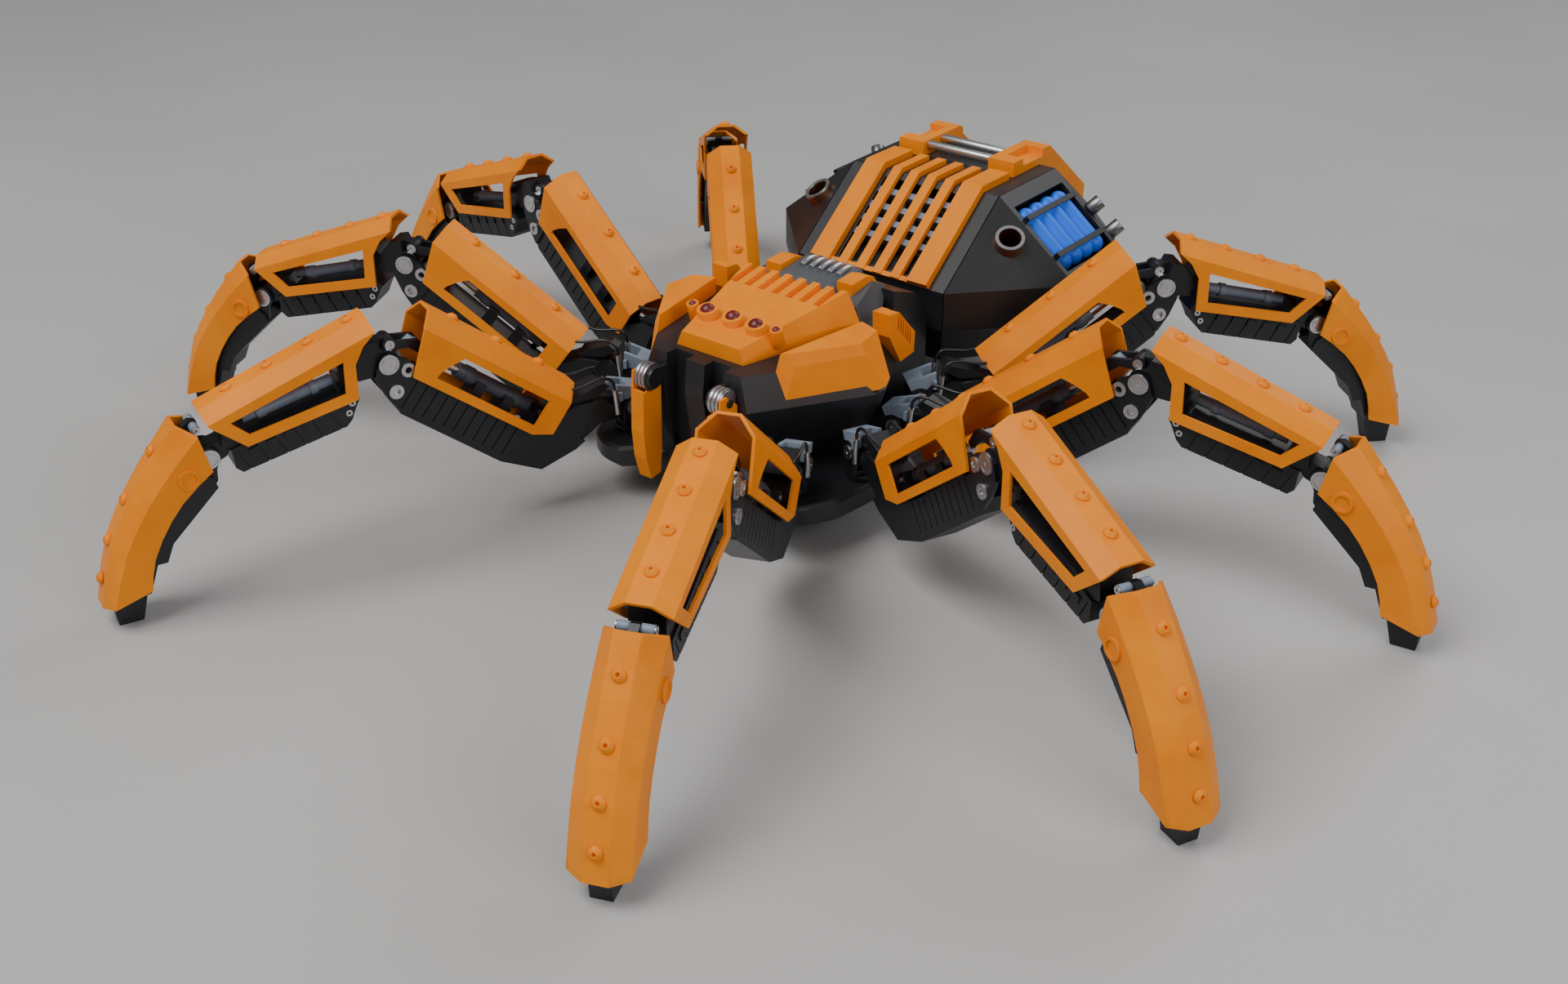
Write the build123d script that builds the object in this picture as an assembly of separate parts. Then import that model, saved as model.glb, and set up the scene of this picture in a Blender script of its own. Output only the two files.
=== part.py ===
# Eight-legged walking robot. Millimetres. +Z is up, the head looks along -Y, +X is the robot's left.
# The floor is Z = 0 and the origin lies on it, midway between the outermost points of the feet.
import os
from math import cos, radians, sin

from build123d import *

os.makedirs("parts", exist_ok=True)

# ---------------------------------------------------------------- driving dimensions
Y_SHIFT = -1.98               # moves the whole robot along Y to centre it on the origin

# legs: yaw axis X and Y of the left legs, and the way each leg points (degrees from +X)
LEGS = {"1": (66.1, -28.7, -68.2), "2": (86.0, 8.4, -25.5), "3": (82.5, 53.0, 7.6), "4": (69.9, 91.0, 46.7)}
HIP_Z = 56.7                  # hip pitch axle above the floor
KNEE_OUT, KNEE_Z = 151.6, 123.1
FEMUR_PITCH, TIBIA_PITCH, TARSUS_PITCH = 38.4, -17.5, -59.0
TIBIA_L = 110.0               # knee axle to ankle axle
ANKLE_OUT = KNEE_OUT + TIBIA_L * cos(radians(TIBIA_PITCH))
ANKLE_Z = KNEE_Z + TIBIA_L * sin(radians(TIBIA_PITCH))

HALF_W = 15.8                 # half width of the leg armour
FLAT = 6.6                    # half width of its flat top
WALL = 1.6
STUD_R = 3.5
AXLE_R = 2.6                  # hip, knee and ankle axles
RUN = 0.05                    # radial running clearance of every axle and spigot

DECK_TOP, DECK_LOW = 38.5, 24.0
TURN_R, TURN_H = 8.0, 4.0     # hip turntable
SPIGOT_R, SPIGOT_L = 4.0, 9.0

BELT_Z = 106.0                # widest line of the abdomen
ROOF_Z = 153.6                # flat roof of the abdomen
SHELL_T = 3.0
CELL_R, CELL_L = 6.7, 50.0    # blue cylinders
ROD_R = 3.0                   # chrome rods of the carrying handle
MID_Y = 232.5                 # middle of the abdomen
HALF_LONG = 96.8              # abdomen: half length of the belt
HALF_WIDE = 117.7             # abdomen: half width of the belt
EDGE_X, ROOF_Y = 58.3, 35.2   # abdomen: half width of the belt's front edge, half length of the roof

HINGE_Y, HINGE_Z = -50.0, 93.9    # fang hinge
FANG_X = 29.4
EYES = [(0.0, -4.6, 124.2, 5.0), (18.5, -5.9, 124.4, 5.0), (-18.5, -5.9, 124.4, 5.0),
        (32.1, -3.7, 123.6, 2.7), (-32.1, -3.7, 123.6, 2.7)]
EYE_TILT = 14.0               # the lenses look forward of straight up


# ---------------------------------------------------------------- helpers
def polygon(points):
    """Flat face through points given as (x, y, z)."""
    return Face(Wire.make_polygon([Vector(*p) for p in points], close=True))


def side_plate(points, n0, n1):
    """Plate whose outline is given in the X-Z plane, from y = n0 to y = n1."""
    face = polygon([(x, n0, z) for x, z in points])
    return extrude(face, amount=n1 - n0, dir=(0, 1, 0))


def plan_plate(points, z0, z1):
    """Plate whose outline is given in the X-Y plane, from z0 to z1."""
    face = polygon([(x, y, z0) for x, y in points])
    return extrude(face, amount=z1 - z0, dir=(0, 0, 1))


def block(x0, x1, y0, y1, z0, z1):
    return Pos((x0 + x1) / 2, (y0 + y1) / 2, (z0 + z1) / 2) * Box(x1 - x0, y1 - y0, z1 - z0)


def rod(a, b, r):
    """Round bar from point a to point b."""
    start, end = Vector(*a), Vector(*b)
    plane = Plane(origin=start, z_dir=end - start)
    return extrude(plane * Circle(r), amount=(end - start).length)


def pin(x, z, n0, n1, r):
    """Round bar across a leg link, from y = n0 to y = n1."""
    return rod((x, n0, z), (x, n1, z), r)


def ring(x, z, n0, n1, r, hole):
    return pin(x, z, n0, n1, r) - pin(x, z, n0 - 1, n1 + 1, hole)


def both(solid):
    """The solid and its mirror image across the link's own plane (y = 0)."""
    return [solid, mirror(solid, about=Plane.XZ)]


def cross_plate(points, x0, x1):
    """Plate whose outline is given in the Y-Z plane, from x0 to x1."""
    face = polygon([(x0, y, z) for y, z in points])
    return extrude(face, amount=x1 - x0, dir=(1, 0, 0))


def left_right(solid):
    return [solid, mirror(solid, about=Plane.YZ)]


def hull(front, rear):
    """Closed faceted solid between two rings with the same number of corners; corners may coincide.

    The second half of the ring is folded the other way, so mirrored rings give a mirrored solid."""
    n = len(front)
    triangles = []
    for k in range(n):
        a, b, c, d = front[k], front[(k + 1) % n], rear[(k + 1) % n], rear[k]
        triangles += [(a, b, c), (a, c, d)] if k < n / 2 else [(a, b, d), (b, c, d)]
    for k in range(1, n - 1):
        triangles += [(front[0], front[k + 1], front[k]), (rear[0], rear[k], rear[k + 1])]
    faces = [polygon(t) for t in triangles if len(set(t)) == 3 and area(t) > 1e-4]
    solid = Solid(Shell(faces))
    return solid if solid.volume > 0 else Solid(Shell([-f for f in faces]))


def trimmed(solid, planes, inside):
    """Cuts the solid by planes given by three points each, keeping the side where the point inside lies."""
    for a, b, c in planes:
        a, b, c = Vector(*a), Vector(*b), Vector(*c)
        out = (b - a).cross(c - a).normalized()
        if out.dot(Vector(*inside) - a) > 0:
            out = -out
        solid -= Plane(origin=a, z_dir=out) * Pos(0, 0, 150) * Box(400, 400, 300)
    return solid


def area(t):
    a, b, c = (Vector(*p) for p in t)
    return (b - a).cross(c - a).length / 2


def mirrored_ring(points):
    """Ring of corners from its left half, given top to bottom: adds the right half."""
    return points + [(-x, y, z) for x, y, z in reversed(points)]


def stud(x, z, tilt=0.0):
    """Domed stud with a blind hole, standing on an armour top."""
    body = Cylinder(STUD_R, 1.0, align=(Align.CENTER, Align.CENTER, Align.MIN))
    body += Pos(0, 0, 1.0) * Cone(STUD_R, 1.7, 1.6, align=(Align.CENTER, Align.CENTER, Align.MIN))
    body -= Pos(0, 0, 0.8) * Cylinder(1.1, 4, align=(Align.CENTER, Align.CENTER, Align.MIN))
    return Pos(x, 0, z) * Rot(0, -tilt, 0) * body


def channel(stations, outline, extra=0.0):
    """Five-sided armour channel, open below and at both ends.

    stations: (x, side height, top height) along the link; outline: its side view."""

    def section(x, side, top, w, flat, low):
        left = [(x, -w, low), (x, -w, side), (x, -flat, top)]
        return polygon(left + [(x, -y, z) for x, y, z in reversed(left)])

    outer = [section(x, s, t, HALF_W, FLAT, -30) for x, s, t in stations]
    t2 = WALL
    inner = [section(x, s - 0.55 * t2, t - t2, HALF_W - t2, FLAT - 0.45 * t2, -32) for x, s, t in stations]
    skin = loft(outer, ruled=True) - loft(inner, ruled=True)
    return skin & side_plate(outline, -HALF_W - 1, HALF_W + 1)


def in_link(x, z, pitch):
    """A level offset in a leg's plane, given along and across a link that rises at pitch degrees."""
    a = radians(pitch)
    return (x * cos(a) + z * sin(a), z * cos(a) - x * sin(a))


# ---------------------------------------------------------------- leg parts, each in its own link frame
# The link frame has its origin on the axle named, X along the link, Z out of the armour's top.
def hip_swivel():
    """Frame: foot of the yaw axis on the floor, X outwards."""
    base = Pos(0, 0, DECK_TOP) * Cylinder(TURN_R, TURN_H, align=(Align.CENTER, Align.CENTER, Align.MIN))
    spigot = rod((0, 0, DECK_TOP - SPIGOT_L), (0, 0, DECK_TOP), SPIGOT_R)
    # two ears with round heads, bored for the pitch axle
    ear = side_plate([(-5.5, 42.0), (5.5, 42.0), (6.6, HIP_Z), (-6.6, HIP_Z)], 5.3, 8.0)
    ear += pin(0, HIP_Z, 5.3, 8.0, 7.0)
    saddle = block(-5.5, 5.5, -8.0, 8.0, 41.0, 45.5)
    yoke = base + spigot + saddle + both(ear)[0] + both(ear)[1]
    yoke -= pin(0, HIP_Z, -9, 9, AXLE_R)
    axle = pin(0, HIP_Z, -8.0, 8.0, AXLE_R)
    caps = both(pin(0, HIP_Z, 8.0, 9.3, 4.4) - pin(0, HIP_Z, 8.9, 9.4, 1.0))
    # light grey hose brackets over the ears, with a ferrule outside each
    plate = side_plate([(-8.0, 67.6), (10.2, 73.6), (10.2, 63.5), (5.0, 63.0), (-5.6, 62.4)], 5.4, 8.0)
    plate -= pin(0, HIP_Z, 5.0, 8.5, 7.2)
    plate += block(8.0, 10.2, 5.4, 10.6, 63.5, 69.0)
    # bridge over the femur's tongue that joins the two brackets
    bridge = side_plate([(-8.0, 67.6), (2.5, 71.06), (2.5, 65.8), (-7.2, 65.8)], -5.4, 5.4)
    ferrule = rod((11.6, 10.3, 55.6), (13.3, 10.3, 72.4), 1.7)
    ferrule -= rod((13.1, 10.3, 70.4), (13.4, 10.3, 73.4), 1.05)
    plate -= rod((11.6, 10.3, 55.6), (13.3, 10.3, 72.4), 1.7)
    return [yoke, axle, bridge] + caps + both(plate) + both(ferrule)


def femur_frame():
    """Frame: knee axle, X outwards along the armour, so the femur lies at negative X."""
    hip = in_link(-KNEE_OUT, HIP_Z - KNEE_Z, FEMUR_PITCH)
    belly = side_plate(
        [(-16.5, -1.0), (-13.0, -16.5), (-23.0, -23.0), (-97.0, -24.0), (-125.0, -17.8), (-138.5, 2.5),
         (-146.0, 24.0), (-150.5, 37.0), (-138.0, 37.5), (-122.0, 26.0), (-109.0, 3.5), (-103.0, -1.0)],
        -11.0, 11.0)
    # ribs pressed into the belly's sides
    for k in range(11):
        x = -21.5 - 7.3 * k
        for n in (11.0, -11.0):
            belly -= block(x - 0.45, x + 0.45, n - 0.7, n + 0.7, -19.5, -1.5)
    # hip end: narrows to pass between the hose ferrules
    for n0, n1 in ((8.2, 12.0), (-12.0, -8.2)):
        belly -= side_plate([(-160, 10), (-137, 10), (-134, 24), (-134, 60), (-160, 60)], n0, n1)
    neck = [(-150.0, 24.5), (-146.0, 22.0), (-136.0, 37.0), (-155.0, 47.0), (-162.0, 36.0)]
    tongue = side_plate(neck, -4.9, 4.9)
    tongue += pin(hip[0], hip[1], -4.9, 4.9, 6.2)
    belly -= pin(hip[0], hip[1], -20, 20, 8.6)
    fin = [(-133.5, 36.9), (-137.0, 46.5), (-131.5, 46.0), (-119.0, 28.0), (-121.5, 25.5)]
    fairing = side_plate(fin, -8.2, 8.2)
    frame = belly + tongue + fairing
    # knee cheeks with a boss for the axle
    cheek = side_plate([(-20.0, -1.0), (-9.5, 7.5), (3.0, 5.2), (5.6, -2.0), (2.4, -10.8), (-8.3, -17.0),
                        (-20.0, -21.2)], 9.6, 12.0)
    frame = frame + both(cheek)[0] + both(cheek)[1]
    frame -= pin(hip[0], hip[1], -6, 6, AXLE_R + RUN)
    # room for the tibia's lug between the cheeks
    frame -= block(-13.0, 8.0, -9.6, 9.6, -26, 12) & pin(0, 0, -9.6, 9.6, 13.2)
    frame -= pin(0, 0, -13, 13, AXLE_R)
    tube = ring(-12.1, 2.2, -13.1, 13.1, 4.2, 2.0)
    frame -= pin(-12.1, 2.2, -14, 14, 4.2)
    frame -= pin(-12.9, -12.1, 11.0, 14, 4.3)
    frame -= pin(-12.9, -12.1, -14, -11.0, 4.3)
    lower_rings = both(ring(-12.9, -12.1, 11.0, 13.1, 4.3, 2.3))
    axle = pin(0, 0, -12.0, 12.0, AXLE_R)
    discs = both(pin(0, 0, 12.0, 13.3, 5.9) - ring(0, 0, 12.9, 13.4, 4.6, 4.0) - pin(0, 0, 12.9, 13.4, 0.8))
    # knee actuator: barrel, end caps, clamps, rear eye
    barrel = rod((-98.0, 0, 12.6), (-45.0, 0, 12.6), 4.8)
    barrel += rod((-90.0, 0, 12.6), (-84.0, 0, 12.6), 5.6) + rod((-56.0, 0, 12.6), (-50.0, 0, 12.6), 5.4)
    barrel += rod((-104.0, 0, 12.6), (-98.0, 0, 12.6), 2.2) + rod((-45.0, 0, 12.6), (-31.0, 0, 12.9), 2.6)
    clamps = []
    for x in (-82.5, -61.5):
        clamp = block(x - 3.5, x + 3.5, -6.4, 6.4, -1.0, 12.6)
        clamps.append(clamp - barrel)
    anchor = block(-108.0, -101.5, -8.0, 8.0, 3.0, 16.6) - rod((-104.0, 0, 12.6), (-98.0, 0, 12.6), 2.2)
    frame -= block(-108.0, -101.5, -8.0, 8.0, 3.0, 16.6)
    small = both(ring(-104.5, 12.8, 8.0, 9.0, 1.6, 0.7))
    # armour posts: the channel is screwed to these
    posts = [block(x - 2, x + 2, n - 2.1, n + 2.1, -1.0, 3.4) for x in (-95.0, -27.0) for n in (-12.1, 12.1)]
    parts = [frame, tube, axle, barrel, anchor] + lower_rings + discs + clamps + small + posts
    return parts


def femur_armour():
    outline = [(-6.0, 42), (-6.0, 27.8), (-15.9, 0.0), (-103.0, 0.0), (-115.5, 5.6), (-114.9, 27.8),
               (-114.9, 42)]
    skin = channel([(-120, 27.8, 38.3), (0, 27.8, 38.3)], outline)
    window = [(-37.6, 22.9), (-101.2, 22.7), (-101.4, 5.4), (-28.6, 5.6), (-29.0, 9.0), (-32.6, 16.0)]
    skin -= side_plate(window, -20, 20)
    return [skin] + [stud(x, 38.3) for x in (-25.5, -57.6, -89.8)]


def femur_to_tibia(x, z):
    """A point of the femur frame given in the tibia frame, at rest."""
    return in_link(x, z, TIBIA_PITCH - FEMUR_PITCH)


def tibia_frame():
    """Frame: knee axle, X along the tibia towards the ankle axle at X = 110."""
    lug = pin(0, 0, -9.3, 9.3, 7.4)
    lug += side_plate([(-0.8, 5.0), (0.6, 14.8), (6.5, 15.6), (17.0, 8.0), (19.0, -2.0), (6.0, -5.5)],
                      -9.3, 9.3)
    # horn that carries the link arms
    lug += pin(-5.9, 7.6, -3.6, 3.6, 3.8)
    lug += side_plate([(-5.9, 11.4), (1.0, 14.0), (4.0, 3.0), (-5.9, 3.8)], -3.6, 3.6)
    spine = side_plate([(14.0, 7.0), (26.0, -3.0), (96.0, -1.0), (101.0, 2.5), (96.0, 14.0), (93.0, 19.0),
                        (88.0, 19.0), (90.0, 8.0), (86.0, 2.4), (32.0, -2.6), (27.0, 3.0), (26.0, 15.0),
                        (18.0, 15.0)], -9.3, 9.3)
    tongue = side_plate([(96.0, -1.0), (101.0, -5.0), (110.0, -5.6), (115.0, 0), (110.0, 5.6), (99.0, 5.0)],
                        -6.7, 6.7)
    tongue += pin(TIBIA_L, 0, -6.7, 6.7, 6.0)
    spine += tongue
    track = side_plate([(26.0, -2.0), (22.5, -11.0), (25.5, -13.6), (29.0, -17.4), (31.5, -20.4),
                        (36.0, -22.9), (97.5, -16.6), (100.0, -12.4), (97.5, -1.0)], -10.6, 10.6)
    for k in range(6):
        x = 38.0 + 10.6 * k
        for n in (10.6, -10.6):
            n0, n1 = sorted((n * 0.93, n * 1.1))
            track -= side_plate([(x, -26), (x + 0.8, -26), (x + 4.6, -3.4), (x + 3.8, -3.4)], n0, n1)
    # raised pads between the grooves
    frame = lug + spine + track
    for k in range(5):
        low = 0.54 * k - 12.5
        frame += block(41.5 + 10.6 * k, 47.5 + 10.6 * k, -11.4, 11.4, low, low + 4.5)
    frame -= pin(0, 0, -10, 10, AXLE_R + RUN)
    frame -= pin(TIBIA_L, 0, -8, 8, AXLE_R + RUN)
    # link arms with eyes on the horn, reaching into the femur
    arm_outline = [(0.5, 12.9), (-10.8, 19.6), (-14.0, 18.6), (-22.0, 15.4), (-21.5, 11.4), (-15.6, 12.6),
                   (-7.8, 12.6), (1.5, 5.3)]
    arm = pin(-5.9, 7.6, 3.9, 6.5, 4.1) + side_plate([femur_to_tibia(*p) for p in arm_outline], 3.9, 6.5)
    arms = both(arm - pin(-5.9, 7.6, 3.0, 7.0, 1.9))
    end_outline = [(-6.6, 13.4), (-8.2, 18.0), (-14.2, 18.2), (-20.5, 15.2), (-20.0, 12.4)]
    rod_end = side_plate([femur_to_tibia(*p) for p in end_outline], -3.8, 3.8)
    link_pins = [pin(-5.9, 7.6, -6.5, 6.5, 1.9)] + both(ring(-5.9, 7.6, 6.5, 7.3, 2.9, 1.2))
    frame -= pin(-5.9, 7.6, -4, 4, 1.9)
    # tibia actuator, seen through the armour's window
    a, b = (31.0, 0, 3.0), (88.0, 0, 8.0)

    def along(t, r0, r1, r):
        p = [tuple(a[i] + (b[i] - a[i]) * s for i in range(3)) for s in (r0, r1)]
        return rod(p[0], p[1], r)

    actuator = along(0, 0.0, 0.2, 3.3) + along(0, 0.16, 0.23, 4.2) + along(0, 0.2, 0.78, 3.5)
    actuator += along(0, 0.70, 0.79, 4.1) + along(0, 0.78, 0.93, 2.9)
    small_rings = both(ring(27.6, -11.0, 10.6, 11.4, 1.9, 0.8))
    small_rings += both(ring(31.6, -15.6, 10.6, 11.4, 1.9, 0.8))
    cross = both(rod((8.5, 4.0, 14.0), (12.0, 6.0, 2.8), 0.7))
    posts = [block(x - 2, x + 2, n - 1.6, n + 1.6, z, z + 4) for x, z in ((23.0, 8.0), (91.0, 12.0))
             for n in (-10.8, 10.8)]
    extras = [actuator, rod_end] + arms + link_pins + small_rings + cross + posts
    for extra in extras:
        frame -= extra
    return [frame] + extras


def tibia_armour():
    outline = [(-0.8, 36), (-0.8, 23.6), (8.6, 19.2), (17.0, 11.4), (23.8, -8.6), (89.0, -1.3), (102.4, 20.6),
               (102.8, 36)]
    skin = channel([(-4, 23.8, 31.0), (106, 21.0, 27.8)], outline)
    window = [(22.2, 16.4), (91.2, 16.2), (84.8, 4.4), (28.9, -2.0)]
    skin -= side_plate(window, -20, 20)
    tilt = -1.7
    return [skin] + [stud(x, 30.85 - 0.0291 * x, tilt) - skin for x in (8.1, 33.2, 58.3, 83.4)]


def sole_x(z):
    """Distance along the tarsus at which height z of its frame meets the floor."""
    a = radians(-TARSUS_PITCH)
    return (ANKLE_Z + z * cos(a)) / sin(a)


def tarsus():
    """Frame: ankle axle, X towards the foot."""
    low = [(4.2, -2.4), (14.0, 1.8), (26.5, 6.0), (38.0, 7.9), (50.0, 8.5), (62.0, 7.8), (72.0, 5.2),
           (80.5, 1.9)]
    outline = low + [(96.8, 16.7), (101.0, 21.0), (101.5, 40), (-12.4, 40), (-12.4, 13.3)]
    stations = [(-16, 12.0, 24.6), (3, 17.2, 27.4), (18, 20.3, 29.6), (33, 22.6, 30.9), (48, 23.6, 31.3),
                (64, 23.2, 30.3), (82, 20.2, 26.4), (104, 15.0, 19.8)]
    skin = channel(stations, outline)
    seats = ((6.9, 28.0, 6), (37.7, 31.0, 2), (62.9, 30.4, -6), (85.7, 25.6, -15))
    studs = [stud(x, z, tilt) - skin for x, z, tilt in seats]
    boss = ring(12.2, 8.5, 15.6, 17.2, 5.9, 4.2) + pin(12.2, 8.5, 15.6, 16.3, 4.3)
    bosses = both(boss - skin)
    # inner claw frame and its fork
    claw = side_plate([(14.0, -10.8), (52.5, 0.0), (64.0, -1.4), (66.8, 3.4), (77.0, 1.5), (84.0, 0.2),
                       (96.0, 14.0), (80.0, 20.0), (48.0, 24.0), (20.0, 20.0), (8.6, 12.0), (9.6, -6.0)],
                      -11.0, 11.0)
    fork = side_plate([(-4.5, -5.0), (4.6, -6.6), (10.6, -9.6), (16.0, -9.0), (16.0, 12.0), (4.0, 12.0),
                       (-4.5, 5.0)], 7.0, 9.4)
    fork += pin(0, 0, 7.0, 9.4, 6.4)
    horn = side_plate([(8.0, 5.0), (12.0, 13.0), (-11.0, 18.6), (-15.6, 16.4), (-16.6, 12.2), (-13.2, 9.8),
                       (-4.0, 10.6)], -2.6, 2.6)
    horn -= pin(0, 0, -3, 3, 8.0)
    frame = claw + both(fork)[0] + both(fork)[1] + horn
    frame -= block(-14, 8.4, -6.95, 6.95, -12, 8) & pin(0, 0, -7, 7, 8.0)
    frame -= pin(0, 0, -10, 10, AXLE_R)
    axle = pin(0, 0, -9.4, 9.4, AXLE_R)
    discs = both(pin(0, 0, 9.4, 10.6, 5.7) - ring(0, 0, 10.2, 10.7, 4.4, 3.8))
    pins = both(pin(-13.6, 13.2, 2.6, 9.0, 2.6)) + both(ring(-13.6, 13.2, 9.0, 9.8, 2.2, 0.9))
    # the sole lies flat on the floor
    heel, toe = sole_x(-4.0), sole_x(7.5)
    foot = hull([(81.0, -5.8, 1.9), (81.0, 5.8, 1.9), (94.5, 5.8, 18.4), (94.5, -5.8, 18.4)],
                [(heel, -5.7, -4.0), (heel, 5.7, -4.0), (toe, 5.7, 7.5), (toe, -5.7, 7.5)])
    frame -= foot
    pads = [block(x, x + 4.0, n - 1.6, n + 1.6, 10.0, 14.0) for x in (20.0, 56.0) for n in (-12.6, 12.6)]
    return [skin, frame, axle, foot] + studs + bosses + discs + pins + pads


def place(shape, leg, side, out, z, pitch):
    """Stands a link-frame shape on one leg: side +1 is the robot's left."""
    x, y, yaw = LEGS[leg]
    turn = yaw if side > 0 else 180 - yaw
    return Pos(side * x, y + Y_SHIFT, 0) * Rot(0, 0, turn) * Pos(out, 0, z) * Rot(0, -pitch, 0) * shape


# ---------------------------------------------------------------- body
def chassis_plate():
    half = [(40.0, -40.0), (52.0, -53.0), (68.0, -52.0), (82.0, -43.0), (93.6, -21.4), (97.5, 8.0),
            (97.5, 92.0), (90.0, 116.0), (75.0, 134.0), (55.0, 143.0)]
    outline = half + [(-x, y) for x, y in reversed(half)]
    deck = plan_plate(outline, DECK_LOW, DECK_TOP)
    deck = fillet([e for e in deck.edges().filter_by(Axis.Z) if abs(e.center().X) > 60.0], 20.0)
    deck = chamfer(deck.faces().sort_by(Axis.Z)[-1].edges(), 2.0)
    deck = chamfer(deck.faces().sort_by(Axis.Z)[0].edges(), 3.0)
    for x, y, yaw in LEGS.values():
        for side in (1, -1):
            deck -= Pos(side * x, y, DECK_TOP) * Cylinder(SPIGOT_R + RUN, 2 * (SPIGOT_L + 0.5))
    return [deck]


def housing_body():
    base = [(20.0, -35.0, DECK_TOP), (56.0, 20.0, DECK_TOP), (56.0, 60.0, DECK_TOP), (40.0, 92.0, DECK_TOP)]
    belt = [(40.3, -41.7, 85.8), (84.7, 24.5, 85.8), (84.7, 36.0, 85.8), (58.0, 88.0, 85.8)]
    top = [(33.8, -39.3, 106.4), (68.2, 12.0, 106.4), (62.0, 44.0, 106.4), (44.0, 84.0, 106.4)]
    body = hull(mirrored_ring(base), mirrored_ring(belt)) + hull(mirrored_ring(belt), mirrored_ring(top))
    # two upright grooves beside the nose rib
    for side in (1, -1):
        x0, x1 = sorted((side * 7.0, side * 22.0))
        body -= block(x0, x1, -60, -31.2, 44, 120)
    return body


def head_housing():
    body = housing_body()
    # room inside for the controller, closed below by the deck
    room = [(18.0, -24.0), (46.0, 18.0), (46.0, 58.0), (34.0, 84.0)]
    body -= plan_plate(room + [(-x, y) for x, y in reversed(room)], DECK_TOP - 1, 97.0)
    # fang hubs: a round boss and its pin on an arm out of the nose
    for side in (1, -1):
        x0, x1 = sorted((side * 21.6, side * 24.4))
        hub = rod((x0, HINGE_Y, HINGE_Z), (x1, HINGE_Y, HINGE_Z), 6.5)
        hub += block(x0, x1, HINGE_Y, -38.0, HINGE_Z - 3.0, HINGE_Z + 5.5)
        body += hub
        p0, p1 = sorted((side * 24.0, side * 35.2))
        body += rod((p0, HINGE_Y, HINGE_Z), (p1, HINGE_Y, HINGE_Z), AXLE_R)
    return [body]


def wings():
    """Two flat grey side faces of the collar, running down and outwards."""
    face = [(35.2, 90.0, 123.8), (43.7, 60.0, 118.7), (47.7, 60.0, 109.0), (48.4, 79.5, 97.2),
            (34.8, 103.9, 117.7)]
    slab = hull(face, [(x - 15.5, y, z) for x, y, z in face])
    left, right = left_right(slab)
    return left + right


def neck_collar():
    """Grey collar behind the head and the dark saddle that carries the abdomen."""
    collar = hull(mirrored_ring([(30.0, 62.0, 106.0), (21.4, 62.0, 123.0)]),
                  mirrored_ring([(30.0, 97.0, 106.0), (21.4, 97.0, 126.5)]))
    grey = collar + wings() - housing_body() - cover()
    for plate in left_right(cheek()):
        grey -= plate
    return [grey]


def saddle():
    rear = MID_Y - 96.8
    profile = [(92.4, DECK_TOP), (97.2, 88.0), (97.2, 117.5), (122.0, 108.5), (rear, 90.0), (rear, DECK_TOP)]
    dark = cross_plate(profile, -46.0, 46.0) - housing_body() - wings()
    dark -= block(-39.0, 39.0, 101.0, 130.0, DECK_TOP - 1, 84.0)
    return [dark]


def conduits():
    """Five silver tubes arching from the collar down to the saddle."""
    tubes = []
    for k in range(-2, 3):
        x = 7.0 * k
        path = Spline((x, 82.0, 125.4), (x, 91.0, 126.9), (x, 98.5, 124.2), (x, 102.6, 117.0), (x, 103.5, 108.0))
        tubes.append(sweep(Plane(origin=path @ 0, z_dir=path % 0) * Circle(2.2), path=path))
    cut = neck_collar()[0] + saddle()[0]
    return [t - cut for t in tubes]


def eye_frame(x, y, z):
    return Pos(x, y, z) * Rot(EYE_TILT, 0, 0)


def eye_lenses():
    """Domed lenses, each with a short stem in its socket."""
    lenses = []
    for x, y, z, r in EYES:
        dome = Sphere(r) & Pos(0, 0, r) * Box(3 * r, 3 * r, 2 * r)
        dome = Pos(0, 0, -0.45 * r) * (dome & Pos(0, 0, 0.45 * r + r) * Box(3 * r, 3 * r, 2 * r))
        stem = Cylinder(0.82 * r, 2.0, align=(Align.CENTER, Align.CENTER, Align.MAX))
        lenses.append(eye_frame(x, y, z) * (dome + stem))
    return lenses


def cover():
    """Sloping orange cover with eye sockets in front and seven vent slots at the rear."""
    front = mirrored_ring([(25.3, -26.0, 107.8), (21.9, -25.7, 115.7)])
    rear = mirrored_ring([(47.9, 59.0, 110.1), (39.3, 57.6, 128.8)])
    # the cover's foot goes down into the housing's top
    foot = hull(mirrored_ring([(26.0, -26.2, 103.0), (25.3, -26.0, 107.8)]),
                mirrored_ring([(49.0, 59.2, 103.0), (47.9, 59.0, 110.1)]))
    shape = hull(front, rear) + foot - housing_body()
    for k in range(-3, 4):
        x = 10.6 * k
        shape -= cross_plate([(35.2, 121.6), (62.0, 125.8), (62.0, 140.0), (35.2, 140.0)], x - 2.7, x + 2.7)
    for x, y, z, r in EYES:
        wall = 1.25 * r + 0.4
        shape += eye_frame(x, y, z) * Cylinder(wall, 11.0, align=(Align.CENTER, Align.CENTER, Align.MAX))
        shape -= eye_frame(x, y, z) * Cylinder(0.82 * r, 4.0)
    return shape - housing_body()


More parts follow.
